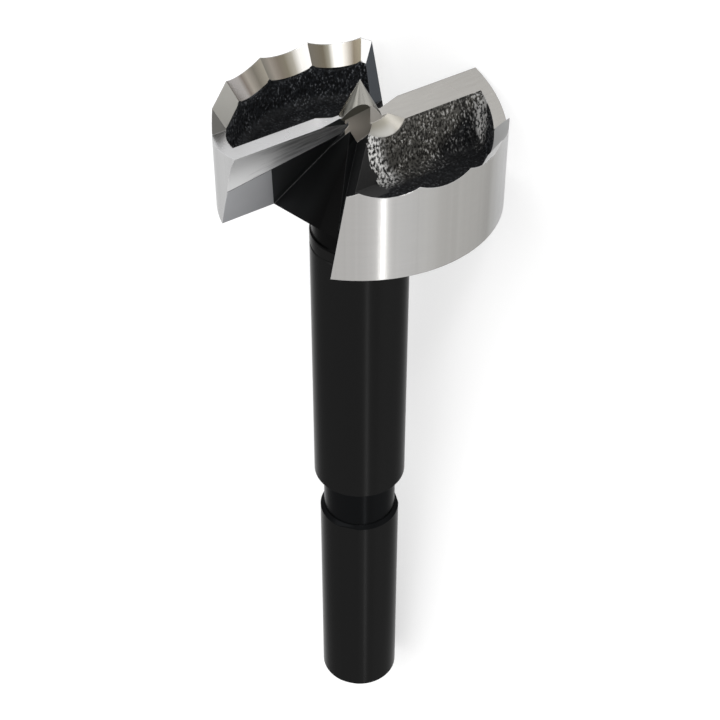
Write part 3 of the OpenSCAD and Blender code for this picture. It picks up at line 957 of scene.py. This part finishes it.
def lumps(places, seed, size):
    """Smooth noise: the sum of LUMP_WAVES plane waves with random ways and starts, about `size` mm long."""
    draw = np.random.default_rng(seed)
    ways = draw.normal(size=(LUMP_WAVES, 3))
    ways *= draw.uniform(0.7, 1.4, (LUMP_WAVES, 1)) / np.linalg.norm(ways, axis=1, keepdims=True)
    starts = draw.uniform(0, 2 * math.pi, LUMP_WAVES)
    return np.sin(places @ ways.T * (2 * math.pi / size) + starts).sum(-1) / math.sqrt(LUMP_WAVES / 2)


def pocket_skin(seed):
    """Grid of points: rows go down the wall, round the foot and over the floor; columns go along the wall.

    Each point rises by RISE plus three sizes of lumps along the grid's normal, and dips by BORDER_DIP at the
    borders. Where the floor runs on under the rim, its points are drawn in to the radius IN_RIM, inside the
    steel.
    """
    u, v, _, _ = pocket_plan(np.array([[START_HEIGHT]]))
    for _ in range(ROUNDS):
        upper = wall_top(u, v) - UNDER_EDGE
        u, v, _, _ = pocket_plan(upper)
    down = np.linspace(0, 1, WALL_STEPS)[:, None]
    foot_top = FLOOR + FOOT_R
    wall_z = upper + (foot_top - upper) * down
    wall_u, wall_v, _, _ = pocket_plan(wall_z)
    foot_u, foot_v, in_u, in_v = pocket_plan(np.array([[foot_top]]))
    bend = np.linspace(0, math.pi / 2, FOOT_STEPS + 1)[1:, None]
    run = np.linspace(0, 1, FLOOR_STEPS + 1)[1:, None]
    inward = np.vstack([FOOT_R * (1 - np.cos(bend)), FOOT_R + FLOOR_RUN * run])
    low_z = np.vstack([foot_top - FOOT_R * np.sin(bend), FLOOR - FLOOR_DIP * run**4])
    grid = np.stack(
        [
            np.vstack([wall_u, foot_u + inward * in_u]),
            np.vstack([wall_v, foot_v + inward * in_v]),
            np.vstack([wall_z, np.broadcast_to(low_z, (len(low_z), wall_z.shape[1]))]),
        ],
        axis=-1,
    )
    normal = np.cross(np.gradient(grid, axis=1), np.gradient(grid, axis=0))
    normal /= np.linalg.norm(normal, axis=-1, keepdims=True)
    if normal[..., 2].mean() < 0:
        normal = -normal
    rows, columns = grid.shape[:2]
    row, column = np.linspace(0, 1, rows)[:, None], np.linspace(0, 1, columns)[None, :]
    ends = np.minimum(row * BORDER_TOP, (1 - row) * BORDER_LOW)
    border = np.clip(np.minimum(ends, np.minimum(column, 1 - column) * BORDER_SIDE), 0, 1)
    border = border**2 * (3 - 2 * border)
    rise = RISE
    for number, (high, size) in enumerate(LUMPS):
        rise = rise + high * lumps(grid, seed + number, size)
    rise = np.clip(rise, LOWEST, HIGHEST) * border - BORDER_DIP * (1 - border)
    skin = grid + normal * rise[..., None]
    skin[..., :2] *= np.minimum(1, IN_RIM / np.hypot(skin[..., 0], skin[..., 1]))[..., None]
    return skin


print("skin of", PLAN_STEPS, "by", WALL_STEPS + FOOT_STEPS + FLOOR_STEPS, "points")

# %% [markdown]
# ## The crust's finish
# Scale is no metal, so it is a plain dark surface with a weak gloss. Its colour and grain come from the
# same group as on the solid, so that nothing shows where the skin ends.

# %% Material: forged crust
CRUST_BUMP, CRUST_DEPTH = 0.7, 0.07 * MM

forged, w = empty_material("forged_black")
where = w.node("ShaderNodeTexCoord", {}).outputs
plain = w.node("ShaderNodeNewGeometry", {}).outputs
spot = w.group(spot_group, Place=where["Object"], Facing=plain["True Normal"])
crust = w.group(crust_group, Vector=spot["Spot"], Facing=spot["Facing"])
relief = {"Strength": CRUST_BUMP, "Distance": CRUST_DEPTH, "Height": crust["Height"]}
surface = w.node(
    "ShaderNodeBsdfPrincipled",
    {
        "Base Color": crust["Colour"],
        "Roughness": crust["Roughness"],
        "Specular IOR Level": OXIDE_GLOSS,
        "Normal": w.node("ShaderNodeBump", relief).outputs[0],
    },
)
w.node("ShaderNodeOutputMaterial", {"Surface": surface.outputs[0]})
print("material", forged.name)

# %% [markdown]
# ## Laying the crust
# The skin is worked out once for each half, with its own lumps, and turned half a turn about the axis for
# the other.

# %% Pieces: the crust of both pockets


def lay_skin(name, grid, turn):
    """One piece from a grid in the half's frame; turn is +1 for the first half and -1 for the other."""
    rows, columns = grid.shape[:2]
    places = to_row(grid.reshape(-1, 3) * np.array([turn, turn, 1.0]))
    corner = (np.arange(rows - 1)[:, None] * columns + np.arange(columns - 1)[None, :]).reshape(-1)
    quads = np.stack([corner, corner + 1, corner + columns + 1, corner + columns], axis=1)
    a, b, d = places[quads[:, 0]], places[quads[:, 1]], places[quads[:, 3]]
    if (np.cross(b - a, d - a) @ axis).mean() < 0:
        quads = quads[:, ::-1]
    mesh = bpy.data.meshes.new(name)
    mesh.from_pydata(places.tolist(), [], quads.tolist())
    mesh.polygons.foreach_set("use_smooth", np.ones(len(quads), bool))
    mesh.materials.append(forged)
    piece = bpy.data.objects.new(name, mesh)
    scene.collection.objects.link(piece)
    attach(piece, "root")
    print(name, len(places), "points")


for name, seed, turn in (("forged_pocket_left", 11, 1), ("forged_pocket_right", 47, -1)):
    lay_skin(name, pocket_skin(seed), turn)

# %% [markdown]
# ## Floor and background
# The bit lies on a plain pale floor. A bright world stands for the white tent that such tools are
# photographed in: camera, mirror and glass rays see it white, while the light that it throws is kept at a
# plain level.

# %% Floor and world
FLOOR_HALF, FLOOR_DOWN = 1.2, -0.0002
PAPER, PAPER_ROUGH, PAPER_GLOW = 0.62, 0.9, 0.52
TENT_THROWN, TENT_SEEN = 0.85, 1.0
WHITE = (1, 1, 1, 1)


def seen(w):
    """1 for a ray from the camera, a mirror or glass."""
    path = w.node("ShaderNodeLightPath", {}).outputs
    return w.either(path["Is Camera Ray"], path["Is Glossy Ray"], path["Is Transmission Ray"])


floor_mesh = bpy.data.meshes.new("floor")
floor_corners = ((-1, -1), (1, -1), (1, 1), (-1, 1))
floor_points = [(x * FLOOR_HALF, y * FLOOR_HALF, FLOOR_DOWN) for x, y in floor_corners]
floor_mesh.from_pydata(floor_points, [], [(0, 1, 2, 3)])
floor = bpy.data.objects.new("floor", floor_mesh)
scene.collection.objects.link(floor)
paper, w = empty_material("white_paper")
sheet = w.node(
    "ShaderNodeBsdfPrincipled",
    {
        "Base Color": grey(PAPER),
        "Roughness": PAPER_ROUGH,
        "Specular IOR Level": 0.0,
        "Emission Color": WHITE,
        "Emission Strength": w.times(seen(w), PAPER_GLOW),
    },
)
w.node("ShaderNodeOutputMaterial", {"Surface": sheet.outputs[0]})
floor_mesh.materials.append(paper)

world = bpy.data.worlds.new("tent")
scene.world = world
world.use_nodes = True
world.node_tree.nodes.clear()
w = Wires(world.node_tree)
strength = w.mix(seen(w), TENT_THROWN, TENT_SEEN)
tent = w.node("ShaderNodeBackground", {"Color": WHITE, "Strength": strength})
w.node("ShaderNodeOutputWorld", {"Surface": tent.outputs[0]})
print("floor and world ready")

# %% [markdown]
# ## Lamps
# One narrow strip draws the upright gleam on rim and shank, a small lamp above makes the glints, and a
# broad one models the head. They are placed as the picture shows them, so that a highlight is easy to move.

# %% Lamps
HEAD_MIDDLE = np.array([0.0, 0.0, 80.0])


def lamp(name, way, distance, size, watts):
    """An area lamp `distance` mm from the head along `way` in the half's frame, aimed at the head."""
    way = np.asarray(way, float) / np.linalg.norm(way)
    data = bpy.data.lights.new(name, "AREA")
    data.shape, data.size, data.size_y, data.energy = "RECTANGLE", size[0], size[1], watts
    thing = bpy.data.objects.new(name, data)
    scene.collection.objects.link(thing)
    z = way @ np.array([lip, ahead, axis])
    y = axis - (axis @ z) * z
    y /= np.linalg.norm(y)
    frame_of = np.eye(4)
    frame_of[:3, :3] = np.array([np.cross(y, z), y, z]).T
    frame_of[:3, 3] = to_row(HEAD_MIDDLE + distance * way)
    thing.matrix_world = Matrix(frame_of.tolist())
    print(name, "at", frame_of[:3, 3].round(3))


def from_view(sideways, rise):
    """A direction as the picture shows it: degrees to the right of the viewer, degrees above the level."""
    turn = VIEW_TURN + math.pi + math.radians(sideways)
    rise = math.radians(rise)
    return (math.cos(rise) * math.cos(turn), math.cos(rise) * math.sin(turn), math.sin(rise))


lamp("strip", from_view(17.6, -39.8), 600, (0.012, 0.35), 0.125)
lamp("glint", from_view(12, 58), 700, (0.09, 0.09), 0.9)
lamp("broad", from_view(-50, 35), 700, (0.5, 0.5), 0.8)
scene.view_settings.view_transform = "Standard"
